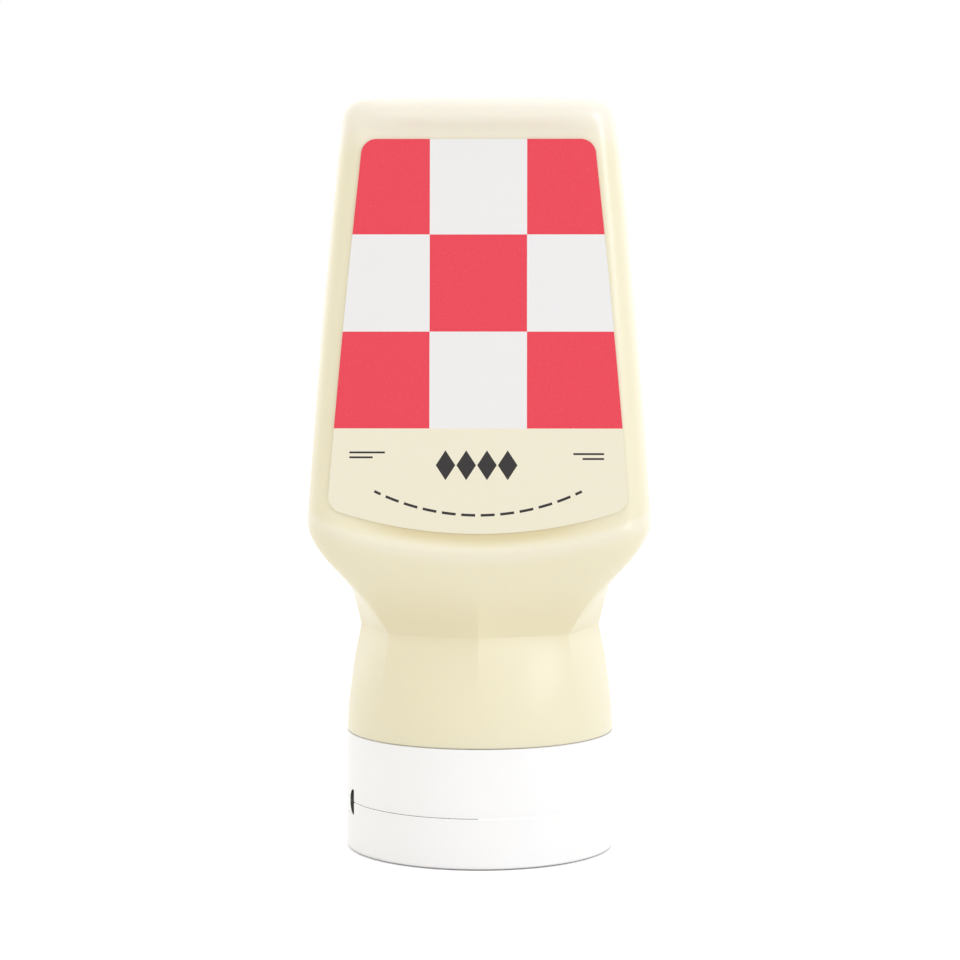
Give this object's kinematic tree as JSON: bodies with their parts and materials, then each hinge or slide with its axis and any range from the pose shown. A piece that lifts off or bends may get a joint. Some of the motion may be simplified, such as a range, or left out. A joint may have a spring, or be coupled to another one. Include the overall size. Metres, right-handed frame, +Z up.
{
  "type": "mayonnaise squeeze bottle",
  "caption": "Upside-down squeeze bottle of mayonnaise: crowned tapering body with flat label panels, faceted waist and a wide round flip-top cap that it stands on.",
  "frame": {"origin": "centre of the flat end of the cap, which the bottle stands on", "axes": "+Z up along the bottle, -Y out of the front label, -X towards the cap's hinge"},
  "size_m": [0.0726, 0.0582, 0.159],
  "materials": {
    "bottle_plastic": "satin, slightly translucent blown plastic, tinted by the cream-coloured contents",
    "label_film": "satin printed film with a plain red and white check over a cream field",
    "cap_plastic": "satin moulded white plastic"
  },
  "bodies": {
    "root": {"bottle": "bottle_plastic", "label_front": "label_film", "label_back": "label_film", "cap_body": "cap_plastic", "cap_lid": "cap_plastic", "hinge_strap": "cap_plastic"}
  },
  "joints": []
}
